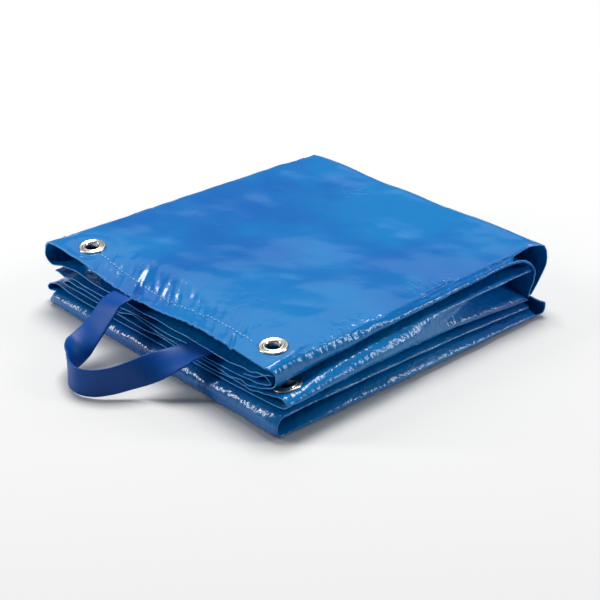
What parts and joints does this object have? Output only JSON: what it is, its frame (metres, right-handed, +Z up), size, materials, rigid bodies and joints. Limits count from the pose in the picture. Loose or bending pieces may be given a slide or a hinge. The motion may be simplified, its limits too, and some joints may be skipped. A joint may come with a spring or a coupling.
{
  "type": "folded tarp",
  "caption": "Folded laminated tarp in two stacked bundles of layers, with a front hem that holds pressed eyelets and a flat carry strap.",
  "frame": {"origin": "on the ground under the middle of the folded pack's footprint, strap not counted", "axes": "+X along the front hem, from the end beside the strap to the corner with the lower eyelet; +Y from the front hem to the back; +Z up"},
  "size_m": [0.3342, 0.4069, 0.0674],
  "materials": {
    "tarp": "glossy laminate on woven cloth",
    "eyelet": "polished nickel plate",
    "strap": "smooth flat webbing"
  },
  "bodies": {
    "root": {"tarp": "tarp", "hem_strip": "tarp", "lower_hem_strip": "tarp", "eyelet_left": "eyelet", "eyelet_right": "eyelet", "eyelet_lower": "eyelet", "carry_strap": "strap"}
  },
  "joints": []
}
